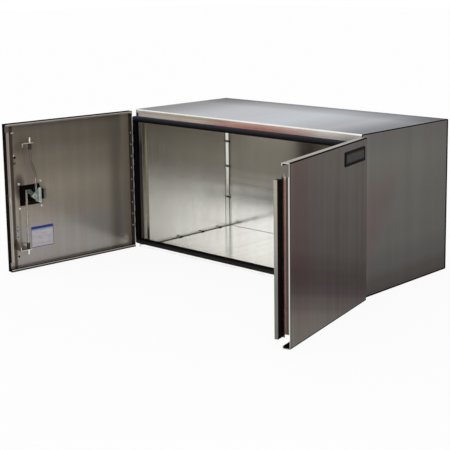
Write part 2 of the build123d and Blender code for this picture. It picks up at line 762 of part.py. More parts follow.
# Rod guides: a shelf across the rod, a foot on the door and a gusset on the edge side
def rod_guide(up, rod_x):
    shelf_z = latch_z + up * guide_reach
    guide_x = rod_x + guide_shift
    with BuildPart() as guide:
        with BuildSketch(Plane.XY.offset(shelf_z)):
            with Locations((guide_x, door_face_y + (door_wall + guide_depth) / 2)):
                Rectangle(guide_width, guide_depth - door_wall)
            with Locations((rod_x, door_face_y + rod_depth)):
                Circle(rod_radius + guide_hole_clearance, mode=Mode.SUBTRACT)
        extrude(amount=up * guide_wall)
        with BuildSketch(at_depth(door_wall)):
            with Locations((guide_x, shelf_z - up * guide_foot / 2)):
                Rectangle(guide_width, guide_foot)
        extrude(amount=-guide_wall)
        with BuildSketch(Plane.YZ.offset(guide_x + guide_width / 2)):
            with BuildLine():
                Polyline((door_face_y + door_wall, shelf_z),
                         (door_face_y + guide_depth, shelf_z),
                         (door_face_y + guide_depth, shelf_z - up * guide_foot / 2),
                         (door_face_y + door_wall, shelf_z - up * guide_gusset), close=True)
            make_face()
        extrude(amount=-guide_wall)
    return guide


def guide_bush(up, rod_x):
    shelf_z = latch_z + up * guide_reach
    with BuildPart() as bush:
        with BuildSketch(Plane.XY.offset(shelf_z)):
            with Locations((rod_x, door_face_y + rod_depth)):
                Circle(bush_radius)
                Circle(rod_radius + bush_clearance, mode=Mode.SUBTRACT)
        extrude(amount=-up * bush_length)
    return bush


upper_tip_x = latch_x - upper_rod_offset + rod_joggle
lower_tip_x = latch_x + lower_rod_offset
upper_rod_guide = rod_guide(1, upper_tip_x)
lower_rod_guide = rod_guide(-1, lower_tip_x)
upper_guide_bush = guide_bush(1, upper_tip_x)
lower_guide_bush = guide_bush(-1, lower_tip_x)

with BuildPart() as guide_rivets:
    foot_offset = guide_reach - guide_foot / 2
    with BuildSketch(at_depth(door_wall + guide_wall)):
        for foot_x, foot_z in ((upper_tip_x + guide_shift, latch_z + foot_offset),
                               (lower_tip_x + guide_shift, latch_z - foot_offset)):
            with Locations((foot_x - guide_rivet_pitch / 2, foot_z),
                           (foot_x + guide_rivet_pitch / 2, foot_z)):
                Circle(rivet_head_radius)
    extrude(amount=-rivet_head_height)
    chamfer(guide_rivets.faces().filter_by(Axis.Y).group_by(Axis.Y)[-1].edges(),
            rivet_head_height / 2)


# Pieces that stay with the box
for piece, name in ((left_body_leaf, "left_hinge_body_leaf"), (right_body_leaf, "right_hinge_body_leaf"),
                    (left_hinge_pin, "left_hinge_pin"), (right_hinge_pin, "right_hinge_pin"),
                    (left_body_leaf_rivets, "left_body_leaf_rivets"),
                    (right_body_leaf_rivets, "right_body_leaf_rivets")):
    write(piece, name)

# Pieces that swing with the left door
for piece, name in ((left_door_panel, "left_door_panel"), (left_door_leaf, "left_hinge_door_leaf"),
                    (left_door_leaf_rivets, "left_door_leaf_rivets"), (latch_dish, "latch_dish"),
                    (dish_bolts, "dish_bolts"), (dish_nuts, "dish_nuts"), (latch_housing, "latch_housing"),
                    (t_handle, "t_handle"),
                    (lock_barrel, "lock_barrel"), (lock_plug, "lock_plug"), (cam_plate, "cam_plate"),
                    (cam_pins, "cam_pins"), (spindle_nut, "spindle_nut"),
                    (upper_lock_rod, "upper_lock_rod"), (lower_lock_rod, "lower_lock_rod"),
                    (upper_rod_guide, "upper_rod_guide"), (lower_rod_guide, "lower_rod_guide"),
                    (upper_guide_bush, "upper_guide_bush"), (lower_guide_bush, "lower_guide_bush"),
                    (guide_rivets, "guide_rivets")):
    swing_left(piece)
    write(piece, name)

# Pieces that swing with the right door
for piece, name in ((right_door_panel, "right_door_panel"), (right_door_leaf, "right_hinge_door_leaf"),
                    (right_door_leaf_rivets, "right_door_leaf_rivets"), (overlap_strip, "overlap_strip"),
                    (overlap_seal, "overlap_seal"), (overlap_strip_rivets, "overlap_strip_rivets")):
    swing_right(piece)
    write(piece, name)
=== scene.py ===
import math

import bmesh
import bpy
from mathutils import Matrix, Vector


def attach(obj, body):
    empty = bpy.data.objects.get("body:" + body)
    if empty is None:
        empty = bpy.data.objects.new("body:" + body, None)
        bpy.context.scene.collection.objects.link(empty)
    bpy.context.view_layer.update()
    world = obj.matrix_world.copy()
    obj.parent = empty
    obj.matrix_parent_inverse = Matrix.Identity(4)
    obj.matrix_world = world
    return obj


# Underbody truck tool box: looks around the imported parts, in metres, Z up.
# Patterns read object coordinates in millimetres; each door has its own frame,
# with X along the door from its hinge pin and Y through its thickness.

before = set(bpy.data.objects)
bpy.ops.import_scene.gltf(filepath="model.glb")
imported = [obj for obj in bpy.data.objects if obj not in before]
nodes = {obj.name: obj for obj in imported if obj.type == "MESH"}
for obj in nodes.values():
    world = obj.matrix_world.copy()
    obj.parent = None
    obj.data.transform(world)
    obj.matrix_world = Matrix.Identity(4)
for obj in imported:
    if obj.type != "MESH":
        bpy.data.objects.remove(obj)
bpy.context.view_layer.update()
scene = bpy.context.scene
print("frame loaded,", len(nodes), "nodes")

# camera, fitted to the box's corners in the photograph
camera = {
    "place": (2.946322, -3.365235, 1.169905),
    "azimuth": 41.472, "elevation": 9.494, "roll": -0.350,
    "lens": 87.3275, "sensor": 36.0, "clip": (0.05, 80),
    "shift": (-0.12367, -0.14766),
}


def addCamera():
    a, e, r = (math.radians(camera[k]) for k in ("azimuth", "elevation", "roll"))
    forward = Vector((-math.sin(a) * math.cos(e), math.cos(a) * math.cos(e), -math.sin(e)))
    right = Vector((math.cos(a), math.sin(a), 0))
    up = right.cross(forward)
    right, up = (right * math.cos(r) + up * math.sin(r), up * math.cos(r) - right * math.sin(r))
    data = bpy.data.cameras.new("boxCamera")
    data.lens, data.sensor_width = camera["lens"], camera["sensor"]
    data.shift_x, data.shift_y = camera["shift"]
    data.clip_start, data.clip_end = camera["clip"]
    view = bpy.data.objects.new("boxCamera", data)
    scene.collection.objects.link(view)
    turned = Matrix((right, up, -forward)).transposed().to_4x4()
    view.matrix_world = Matrix.Translation(camera["place"]) @ turned
    scene.camera = view


addCamera()
print("camera placed")

# where each door hangs and how far it stands open at rest
hang = {
    "box": {"pin": (0, 0), "turn": 0.0},
    "left": {"pin": (-611.6, -294.5), "turn": 95.0},
    "right": {"pin": (611.6, -294.5), "turn": -103.6},
}


# node helpers
def newMaterial(name):
    mat = bpy.data.materials.new(name)
    mat.use_nodes = True
    tree = mat.node_tree
    tree.nodes.clear()
    out = tree.nodes.new("ShaderNodeOutputMaterial")
    shader = tree.nodes.new("ShaderNodeBsdfPrincipled")
    tree.links.new(shader.outputs[0], out.inputs[0])
    return mat, tree, shader


def feed(tree, value, socket):
    if isinstance(value, bpy.types.NodeSocket):
        tree.links.new(value, socket)
    else:
        socket.default_value = value


def maths(tree, kind, a, b=0.0):
    node = tree.nodes.new("ShaderNodeMath")
    node.operation = kind
    feed(tree, a, node.inputs[0])
    feed(tree, b, node.inputs[1])
    return node.outputs[0]


def times(tree, a, b):
    return maths(tree, "MULTIPLY", a, b)


def minus(tree, a, b):
    return maths(tree, "SUBTRACT", a, b)


def between(tree, value, low, high, toLow=0.0, toHigh=1.0, soft=True):
    node = tree.nodes.new("ShaderNodeMapRange")
    node.interpolation_type = "SMOOTHSTEP" if soft else "LINEAR"
    feed(tree, value, node.inputs[0])
    for socket, v in zip(node.inputs[1:5], (low, high, toLow, toHigh)):
        socket.default_value = v
    return node.outputs[0]


def above(tree, value, edge, soft=1.0):
    return between(tree, value, edge - soft, edge + soft)


def below(tree, value, edge, soft=1.0):
    return between(tree, value, edge + soft, edge - soft)


def band(tree, value, low, high, soft=1.0):
    return times(tree, above(tree, value, low, soft), below(tree, value, high, soft))


def both(tree, *masks):
    result = masks[0]
    for mask in masks[1:]:
        result = times(tree, result, mask)
    return result


def either(tree, *masks):
    result = masks[0]
    for mask in masks[1:]:
        result = maths(tree, "MAXIMUM", result, mask)
    return result


def mixColour(tree, factor, a, b, blend="MIX"):
    node = tree.nodes.new("ShaderNodeMix")
    node.data_type, node.blend_type = "RGBA", blend
    feed(tree, factor, node.inputs[0])
    feed(tree, a, node.inputs[6])
    feed(tree, b, node.inputs[7])
    return node.outputs[2]


def tinted(tree, colour, tint):
    return mixColour(tree, 1.0, colour, tint, "MULTIPLY")


def rgb(r, g, b, bounces=1):
    # 0..255 as seen on screen, to the linear value that a shader takes;
    # inside the box light meets the metal twice, so the root is taken
    def lin(v):
        v /= 255
        v = v / 12.92 if v <= 0.04045 else ((v + 0.055) / 1.055) ** 2.4
        return v ** (1 / bounces)
    return (lin(r), lin(g), lin(b), 1.0)


def tone(tree, value, stops, bounces=1):
    # stops: (place in millimetres, seen colour), lowest place first
    low, high = stops[0][0], stops[-1][0]
    node = tree.nodes.new("ShaderNodeValToRGB")
    node.color_ramp.interpolation = "EASE"
    points = node.color_ramp.elements
    while len(points) < len(stops):
        points.new(0.5)
    for point, (at, colour) in zip(points, stops):
        point.position, point.color = (at - low) / (high - low), rgb(*colour, bounces)
    tree.links.new(between(tree, value, low, high, soft=False), node.inputs[0])
    return node.outputs[0]


def place(tree, where="box"):
    # object coordinates in millimetres, in the frame of the shut door
    pin, turn = hang[where]["pin"], math.radians(hang[where]["turn"])
    coords = tree.nodes.new("ShaderNodeTexCoord")
    mapping = tree.nodes.new("ShaderNodeMapping")
    mapping.vector_type = "POINT"
    tree.links.new(coords.outputs["Object"], mapping.inputs[0])
    moved = -(Matrix.Rotation(turn, 3, "Z") @ Vector((pin[0], pin[1], 0)))
    mapping.inputs["Location"].default_value = moved
    mapping.inputs["Rotation"].default_value = (0, 0, turn)
    mapping.inputs["Scale"].default_value = (1000, 1000, 1000)
    return mapping.outputs[0]


def split(tree, vector):
    node = tree.nodes.new("ShaderNodeSeparateXYZ")
    tree.links.new(vector, node.inputs[0])
    return node.outputs[:3]


def noise(tree, vector, stretch, detail=2.0, rough=0.5):
    # stretch: how many cells a millimetre, along X, Y and Z
    mapping = tree.nodes.new("ShaderNodeMapping")
    tree.links.new(vector, mapping.inputs[0])
    mapping.inputs["Scale"].default_value = stretch
    node = tree.nodes.new("ShaderNodeTexNoise")
    tree.links.new(mapping.outputs[0], node.inputs["Vector"])
    node.inputs["Scale"].default_value = 1.0
    node.inputs["Detail"].default_value = detail
    node.inputs["Roughness"].default_value = rough
    return node.outputs[0]


def bump(tree, shader, height, strength, distance):
    node = tree.nodes.new("ShaderNodeBump")
    node.inputs["Strength"].default_value = strength
    node.inputs["Distance"].default_value = distance
    tree.links.new(height, node.inputs["Height"])
    tree.links.new(node.outputs[0], shader.inputs["Normal"])


def dress(mat, *names):
    for name in names:
        data = nodes[name].data
        data.materials.clear()
        data.materials.append(mat)


# brushed sheet: painted tone, drawn grain, soft clouds and a faint tinge in wide streaks
sheetLook = {
    "rough": 0.22, "roughSpread": (0.85, 1.2), "metal": 1.0, "spec": 0.5,
    "edgeTint": (0.5, 0.5, 0.5, 1.0), "bump": 0.02, "bumpDepth": 0.0004,
    "grain": (0.5, 0.5, 0.008), "grainDepth": 0.05, "wide": (0.03, 0.03, 0.0008),
    "wideDepth": 0.07, "cloud": 0.006, "cloudDepth": 0.05,
    "tinge": 0.5, "warm": (1.0, 0.955, 0.935, 1), "cool": (0.955, 0.985, 0.98, 1),
}


def brushed(name, paint, where="box", **changes):
    # paint gives the colour, and whichever of metal, edge tint and specular
    # level change over the sheet
    look = dict(sheetLook, **changes)
    mat, tree, shader = newMaterial(name)
    vector = place(tree, where)
    painted = paint(tree, *split(tree, vector))
    grain = noise(tree, vector, look["grain"], 3.0, 0.65)
    wide = noise(tree, vector, look["wide"], 2.0, 0.5)
    cloud = noise(tree, vector, (look["cloud"],) * 3, 3.0, 0.55)
    grainHalf, wideHalf = look["grainDepth"] / 2, look["wideDepth"] / 2
    shade = maths(tree, "ADD", between(tree, grain, 0.3, 0.7, -grainHalf, grainHalf),
                  between(tree, wide, 0.3, 0.7, -wideHalf, wideHalf))
    shade = maths(tree, "ADD", shade,
                  between(tree, cloud, 0.3, 0.7, 1 - look["cloudDepth"], 1.0))
    tinge = mixColour(tree, between(tree, wide, 0.38, 0.62), look["warm"], look["cool"])
    colour = painted["colour"]
    colour = mixColour(tree, look["tinge"], colour, tinted(tree, colour, tinge))
    tree.links.new(tinted(tree, colour, shade), shader.inputs["Base Color"])
    feed(tree, painted.get("metal", look["metal"]), shader.inputs["Metallic"])
    feed(tree, painted.get("edgeTint", look["edgeTint"]), shader.inputs["Specular Tint"])
    feed(tree, painted.get("spec", look["spec"]), shader.inputs["Specular IOR Level"])
    low, high = (look["rough"] * share for share in look["roughSpread"])
    tree.links.new(between(tree, grain, 0.25, 0.75, low, high), shader.inputs["Roughness"])
    bump(tree, shader, grain, look["bump"], look["bumpDepth"])
    return mat


def dullWhere(tree, dark):
    # black outlines lose their highlight, or they turn grey at a low angle
    return between(tree, dark, 0, 1, sheetLook["spec"], 0.0)


# tones that the sheets of the box share; places are in millimetres
boxTones = {
    # painted reflection: the header's tones across the box
    "headerReflectionAcross": ((-600, (214, 207, 198)), (-220, (216, 204, 188)), (-80, (206, 168, 155)),
                     (120, (196, 150, 138)), (300, (200, 174, 166)), (450, (208, 203, 196)),
                     (600, (166, 165, 162))),
    # painted light and shade: the side walls inside, pale low down and dark high up
    "sideShadeUp": ((0, (253, 252, 246)), (300, (251, 250, 241)), (390, (248, 246, 236)),
               (440, (222, 218, 206)), (490, (184, 178, 166)), (600, (156, 149, 137))),
    # sideLean leans the walls' painted shade; the sill is painted white as a painted reflection
    # of the floor
    "sideLean": 0.25, "floor": (254, 254, 252), "sill": (253, 253, 252), "seam": (14, 13, 13),
    "innerMetal": 0.97, "dullMetal": 0.3,
}

# the wrap: back and floor inside, top outside, folded lips along the front
wrap = {
    # painted light and shade: the back wall inside, pale low down and dark high up
    "wallShadeUp": ((0, (254, 254, 252)), (120, (254, 254, 251)), (175, (250, 250, 243)),
               (215, (122, 118, 109)), (250, (84, 78, 70)), (290, (64, 59, 51)),
               (360, (62, 57, 49)), (600, (86, 80, 71))),
    # painted reflection: the top's tones across, and its specular tint across and towards the
    # back
    "topReflectionAcross": ((-600, (142, 142, 144)), (-200, (182, 183, 186)), (150, (188, 191, 195)),
                  (380, (176, 177, 181)), (600, (138, 139, 143))),
    "topReflectionTint": ((-600, (176, 176, 176)), (-220, (220, 221, 224)), (150, (222, 226, 230)),
                (400, (210, 211, 214)), (600, (176, 177, 180))),
    "topReflectionBack": ((-280, (255, 255, 255)), (60, (255, 255, 255)), (190, (218, 218, 218)),
                (280, (174, 174, 174))),
    # the bright lines along the bends are painted highlights
    "foldHighlight": (240, 241, 238), "outside": (104, 101, 97),
    # painted shade on the floor along the side walls
    "floorCornerShade": (176, 172, 160), "floorCornerShadeX": (586, 16), "floorCornerShadeAmount": 0.8,
    "floorZ": 2.9, "topZ": 608.9, "foldZ": 604.6, "foldY": -275.6, "foldLineZ": 603.4,
    "lipY": -277, "headerZ": (594, 604.6), "sillZ": 15.4, "cutX": 607.2,
    "insideZ": (1.3, 608.3), "insideY": (-278.5, 278.8), "insideX": 607.4,
    "look": {"grain": (0.5, 0.008, 0.008), "wide": (0.02, 0.0008, 0.0008), "rough": 0.16,
             "tinge": 0.25, "cloudDepth": 0.02},
}


def wrapPaint(tree, x, y, z):
    wide = maths(tree, "ABSOLUTE", x)
    # painted shade on the floor in its corners by the side walls
    toCornerShade = times(tree, above(tree, wide, *wrap["floorCornerShadeX"]), wrap["floorCornerShadeAmount"])
    ground = mixColour(tree, toCornerShade, rgb(*boxTones["floor"]), rgb(*wrap["floorCornerShade"]))
    # the back wall's painted light and shade, then the floor
    inner = mixColour(tree, below(tree, z, wrap["floorZ"], 0.3),
                      tone(tree, z, wrap["wallShadeUp"], 2), ground)
    onTop = above(tree, z, wrap["topZ"], 0.3)
    onFold = both(tree, above(tree, z, wrap["foldZ"], 0.5), below(tree, y, wrap["foldY"], 0.8))
    onLip = below(tree, y, wrap["lipY"], 0.5)
    onHeader = both(tree, band(tree, z, *wrap["headerZ"], 0.3), onLip)
    onSill = both(tree, below(tree, z, wrap["sillZ"], 0.3), onLip)
    cut = above(tree, wide, wrap["cutX"], 0.4)
    # the header's painted reflection, with a painted highlight along its top bend
    header = mixColour(tree, above(tree, z, wrap["foldLineZ"], 0.8),
                       tone(tree, x, boxTones["headerReflectionAcross"]), rgb(*wrap["foldHighlight"]))
    # the top takes its painted reflection tones
    outer = mixColour(tree, onTop, rgb(*wrap["outside"]), tone(tree, x, wrap["topReflectionAcross"]))
    # a painted highlight along the front bend of the top
    outer = mixColour(tree, onFold, outer, rgb(*wrap["foldHighlight"]))
    outer = mixColour(tree, onHeader, outer, header)
    # the sill is painted white, a painted reflection of the floor
    outer = mixColour(tree, onSill, outer, rgb(*boxTones["sill"]))
    outer = mixColour(tree, cut, outer, rgb(*boxTones["seam"]))
    within = both(tree, band(tree, z, *wrap["insideZ"], 0.3),
                  band(tree, y, *wrap["insideY"], 0.3), below(tree, wide, wrap["insideX"], 0.2))
    # the top's specular tint, a painted reflection
    tint = tinted(tree, tone(tree, x, wrap["topReflectionTint"]), tone(tree, y, wrap["topReflectionBack"]))
    outerMetal = between(tree, either(tree, onHeader, cut), 0, 1, 1.0, boxTones["dullMetal"])
    return {"colour": mixColour(tree, within, outer, inner),
            "edgeTint": mixColour(tree, onTop, (1, 1, 1, 1), tint),
            "metal": either(tree, outerMetal, times(tree, within, boxTones["innerMetal"])),
            "spec": dullWhere(tree, cut)}


# the end panels: mirrors inside, with a strip in the back corner painted bright as a painted
# highlight
endPanel = {
    # the strip's painted highlight, and a painted shadow beside it
    "strip": (254, 253, 248), "stripY": 263.5, "stripShadeY": (256.5, 262), "stripShade": 0.5,
    # the joint's colour is the painted shadow at the strip's edge and beside it
    "joint": (74, 70, 62), "jointX": 598.3, "floorZ": 6, "outsideX": 608.6,
    # outside: painted shade, darker towards the bottom
    "flankShadeUp": ((0, (74, 70, 67)), (40, (80, 76, 74)), (100, (90, 88, 86)),
                (200, (98, 96, 93)), (320, (101, 99, 96)), (500, (106, 104, 99)),
                (600, (102, 99, 96))),
    # a reddish painted reflection on the outside, towards the front
    "redReflection": (1.03, 0.8, 0.82, 1.0), "redAmount": 0.65, "redLean": 0.7, "redFrom": (-335, 65),
    "redZ": (60, 430, 80),
    # painted light: the outside is lightened at its front upper part
    "front": (1.3, 1.3, 1.3, 1.0), "frontY": (-250, 20), "frontZ": (340, 160),
    "rimTop": 605.4, "rimBottom": 5.6, "rimBack": 270.5,
    "look": {"grain": (0.008, 0.5, 0.008), "wide": (0.0008, 0.015, 0.0008), "tinge": 0.25,
             "cloudDepth": 0.02},
}


def endPaint(tree, x, y, z):
    wide = maths(tree, "ABSOLUTE", x)
    leaned = maths(tree, "ADD", z, times(tree, y, boxTones["sideLean"]))
    # painted shadow beside the strip, in the joint's colour, then the strip's painted highlight
    shade = times(tree, band(tree, y, *endPanel["stripShadeY"], 1), endPanel["stripShade"])
    inner = mixColour(tree, shade, tone(tree, leaned, boxTones["sideShadeUp"], 2),
                      rgb(*endPanel["joint"]))
    inner = mixColour(tree, above(tree, y, endPanel["stripY"], 1.5), inner,
                      rgb(*endPanel["strip"]))
    inner = mixColour(tree, below(tree, z, endPanel["floorZ"], 0.6), inner,
                      rgb(*boxTones["floor"]))
    # painted shadow at the strip's edge, in the joint's colour
    inner = mixColour(tree, below(tree, wide, endPanel["jointX"], 0.2), inner,
                      rgb(*endPanel["joint"]))
    # the outside's painted shade, darker towards the bottom
    outer = tone(tree, z, endPanel["flankShadeUp"])
    # the reddish painted reflection, in a slanting patch
    slant = minus(tree, y, times(tree, z, endPanel["redLean"]))
    redReflection = both(tree, below(tree, slant, *endPanel["redFrom"]), band(tree, z, *endPanel["redZ"]))
    outer = mixColour(tree, times(tree, redReflection, endPanel["redAmount"]), outer,
                      tinted(tree, outer, endPanel["redReflection"]))
    # the painted light on the outside's front upper part
    front = both(tree, below(tree, y, *endPanel["frontY"]), above(tree, z, *endPanel["frontZ"]))
    outer = mixColour(tree, front, outer, tinted(tree, outer, endPanel["front"]))
    rim = either(tree, above(tree, z, endPanel["rimTop"], 0.5),
                 above(tree, y, endPanel["rimBack"], 0.6),
                 below(tree, z, endPanel["rimBottom"], 0.5))
    outer = mixColour(tree, rim, outer, rgb(*boxTones["seam"]))
    farOut = above(tree, wide, endPanel["outsideX"], 0.3)
    dark = both(tree, rim, farOut)
    metal = between(tree, farOut, 0, 1, boxTones["innerMetal"], 1.0)
    return {"colour": mixColour(tree, farOut, inner, outer), "spec": dullWhere(tree, dark),
            "metal": minus(tree, metal, dark)}


# the opening frame: collar under the seal, header above it, a sill below painted white as a
# painted reflection, and jambs painted dark as painted shade
openingFrame = {
    # painted light and shade: the collar, darker low down and lighter high up
    "collarShadeUp": ((40, (84, 76, 68)), (440, (88, 80, 72)), (530, (140, 139, 135)),
                 (590, (166, 168, 168))),
    # painted shade darkens the jambs
    "collarY": -276.5, "jamb": (0.5, 0.48, 0.44, 1), "jambY": -277,
    # a painted highlight along the plate's edge
    "plateEdgeHighlight": (200, 196, 186), "plateY": (-279.4, -277.4),
    # the header is lightened as painted light, over its shade by the collar
    "header": (1.35, 1.33, 1.33, 1), "headerZ": 573, "sillZ": 41,
}


def framePaint(tree, x, y, z):
    collar = below(tree, y, openingFrame["collarY"], 0.5)
    leaned = maths(tree, "ADD", z, times(tree, y, boxTones["sideLean"]))
    inner = mixColour(tree, collar, tone(tree, leaned, boxTones["sideShadeUp"], 2),
                      tone(tree, z, openingFrame["collarShadeUp"]))
    # painted shade on the jambs
    inner = mixColour(tree, above(tree, y, openingFrame["jambY"], 0.5), inner,
                      tinted(tree, inner, openingFrame["jamb"]))
    # the painted highlight on the plate's edge
    inner = mixColour(tree, band(tree, y, *openingFrame["plateY"], 0.3), inner,
                      rgb(*openingFrame["plateEdgeHighlight"]))
    # the header's painted reflection, lightened as painted light
    header = tinted(tree, tone(tree, x, boxTones["headerReflectionAcross"]), openingFrame["header"])
    onHeader = both(tree, above(tree, z, openingFrame["headerZ"], 1), collar)
    inner = mixColour(tree, onHeader, inner, header)
    # the sill is painted white, a painted reflection of the floor
    sill = both(tree, below(tree, z, openingFrame["sillZ"], 1), collar)
    metal = between(tree, collar, 0, 1, boxTones["innerMetal"], boxTones["dullMetal"])
    return {"colour": mixColour(tree, sill, inner, rgb(*boxTones["sill"])),
            "metal": either(tree, metal, sill)}


dress(brushed("wrapSheet", wrapPaint, **wrap["look"]), "body_wrap")
dress(brushed("endSheet", endPaint, **endPanel["look"]), "left_end_panel", "right_end_panel")
dress(brushed("frameSheet", framePaint), "opening_frame")
print("box sheets finished")

# the left door, seen from inside; X runs from the hinge pin, Y through the thickness
leftDoor = {
    # painted light and shade on the inner skin: lighter in the middle, darker high up
    "skinShadeUp": ((0, (162, 156, 150)), (60, (168, 162, 157)), (150, (168, 163, 158)),
               (220, (174, 165, 154)), (320, (178, 168, 154)), (440, (152, 142, 129)),
               (520, (134, 125, 113)), (600, (134, 125, 117))),
    # painted shade in a band near the hinge, and painted light in a strip closer to it
    "hingeDark": (124, 116, 104), "hingeDarkX": (62, 108, 22), "hingeDarkAmount": 0.75,
    "hingeLight": (166, 155, 139), "hingeLightX": (48, 10), "hingeLightAmount": 0.7,
    # a painted shadow beside the latch
    "latchShadow": (84, 74, 68), "latchShadowAt": (548, 342), "latchShadowSize": (26, 56),
    "latchShadowEdge": (0.7, 0.7), "latchShadowAmount": 0.9,
    # painted shade at the feet of the channels, under the lips
    "channel": (78, 68, 61), "channelX": (570, 584, 3), "channelZ": 8.4, "channelAmount": 0.95,
    # the hinge-side flange is painted dark as painted shade
    "flange": (60, 51, 45), "flangeX": 6.8,
    # the lips: the top run is painted darker as painted shade, with painted highlights along
    # their edges
    "lip": (168, 158, 149), "lipTop": (140, 133, 127), "lipHighlight": (206, 198, 190),
    "lipY": -4.2, "lipTopZ": 591, "shineHinge": 13.6, "shineFree": (600, 603),
    "shineTop": 597.4,
    "outside": (104, 101, 97), "outsideY": -28.4, "innerMetal": 0.35,
    # the edge faces are painted near black, a painted dark reflection
    "outline": (24, 18, 17), "outlineX": 611.9, "outlineTop": 601.2, "outlineBottom": 10.4,
    "freeX": 601.5, "freeY": -4.6,
    "look": {"wideDepth": 0.06, "tinge": 0.6},
}


def leftDoorPaint(tree, x, y, z):
    t = leftDoor
    # the inner skin's painted light and shade
    inner = tone(tree, z, t["skinShadeUp"])
    # the painted shade band and painted light strip beside the hinge
    nearHinge = times(tree, band(tree, x, *t["hingeDarkX"]), t["hingeDarkAmount"])
    inner = mixColour(tree, nearHinge, inner, rgb(*t["hingeDark"]))
    atHinge = times(tree, below(tree, x, *t["hingeLightX"]), t["hingeLightAmount"])
    inner = mixColour(tree, atHinge, inner, rgb(*t["hingeLight"]))
    # a soft painted shadow beside the latch, as an oval
    parts = [maths(tree, "POWER", maths(tree, "DIVIDE", minus(tree, value, at), size), 2)
             for value, at, size in zip((x, z), t["latchShadowAt"], t["latchShadowSize"])]
    oval = below(tree, maths(tree, "ADD", *parts), *t["latchShadowEdge"])
    inner = mixColour(tree, times(tree, oval, t["latchShadowAmount"]), inner, rgb(*t["latchShadow"]))
    # painted shade at the feet of the channels round the door, then the lips in front of them
    foot = either(tree, band(tree, x, *t["channelX"]), below(tree, z, t["channelZ"], 0.4))
    inner = mixColour(tree, times(tree, foot, t["channelAmount"]), inner, rgb(*t["channel"]))
    # the hinge-side flange's painted shade
    inner = mixColour(tree, below(tree, x, t["flangeX"], 0.3), inner, rgb(*t["flange"]))
    # the lips, with the top run's painted shade and the painted highlights on their edges
    lip = mixColour(tree, above(tree, z, t["lipTopZ"], 1), rgb(*t["lip"]), rgb(*t["lipTop"]))
    shine = either(tree, below(tree, x, t["shineHinge"], 0.4),
                   band(tree, x, *t["shineFree"], 0.4), above(tree, z, t["shineTop"], 0.4))
    lip = mixColour(tree, shine, lip, rgb(*t["lipHighlight"]))
    inner = mixColour(tree, above(tree, y, t["lipY"], 0.4), inner, lip)
    within = above(tree, y, t["outsideY"], 0.3)
    colour = mixColour(tree, within, rgb(*t["outside"]), inner)
    # the edge faces' painted dark reflection
    freeEdge = both(tree, above(tree, x, t["freeX"], 0.5), below(tree, y, t["freeY"], 0.3))
    dark = either(tree, above(tree, x, t["outlineX"], 0.3), above(tree, z, t["outlineTop"], 0.3),
                  below(tree, z, t["outlineBottom"], 0.3), freeEdge)
    metal = times(tree, between(tree, within, 0, 1, 1.0, t["innerMetal"]),
                  between(tree, dark, 0, 1, 1.0, 0.0))
    return {"colour": mixColour(tree, dark, colour, rgb(*t["outline"])), "metal": metal,
            "spec": dullWhere(tree, dark)}


# the right door, seen from outside, and the bands that its free edge mirrors
rightDoor = {
    # painted reflection and shade on the outer skin, in bands that lean across the door
    "skinShadeUp": ((-110, (119, 113, 108)), (-60, (115, 108, 104)), (-20, (101, 94, 91)),
               (0, (96, 88, 87)), (30, (83, 75, 75)), (60, (78, 70, 70)), (90, (77, 70, 69)),
               (120, (82, 75, 74)), (180, (91, 85, 83)), (250, (94, 89, 86)),
               (350, (98, 93, 90)), (450, (103, 98, 94)), (600, (106, 101, 98))),
    # a reddish painted reflection towards the free edge
    "skinLean": 0.28, "redReflection": (1.05, 0.8, 0.82, 1.0), "redX": (460, 160), "redAmount": 0.55,
    "redZ": (60, 60),
    # painted shade beside the free edge's bend, along the top and bottom edges and in the
    # channels
    "outline": (24, 18, 17), "outlineX": 600.6, "outlineAmount": 0.75, "outlineTop": 599.8,
    "outlineBottom": 10.4, "outlineY": -22.5,
    # the bend on the free edge is a painted highlight
    "foldHighlight": (222, 216, 210), "foldX": 606.1, "foldY": -25, "shade": (76, 76, 76),
    "redBand": ((0, (205, 160, 155)), (186, (226, 163, 150)), (366, (240, 175, 155)),
                (500, (252, 188, 164)), (548, (250, 184, 160)), (556, (252, 248, 240))),
    "redBandY": -15.8,
    "greenBand": ((0, (120, 104, 102)), (200, (130, 112, 110)), (366, (170, 160, 154)),
                  (510, (215, 226, 214)), (546, (215, 226, 214)), (554, (118, 112, 102))),
    "greenBandY": -9.6, "edgeX": 603.4, "edgeY": -28.8,
    "hollowZ": (7.6, 600.2), "hollowY": (-26.5, -4), "fullEdgeZ": (18, 588),
    "inside": (252, 251, 247), "insideY": -28.4, "insideMetal": 0.85,
    # the top flange is painted light as a painted highlight
    "flange": (196, 190, 181), "flangeZ": 602.3,
    "channelY": (-27.8, -3.2), "channelTop": (590, 601.8), "channelBottom": (6.2, 18),
    "look": {"wideDepth": 0.12, "tinge": 0.9},
}


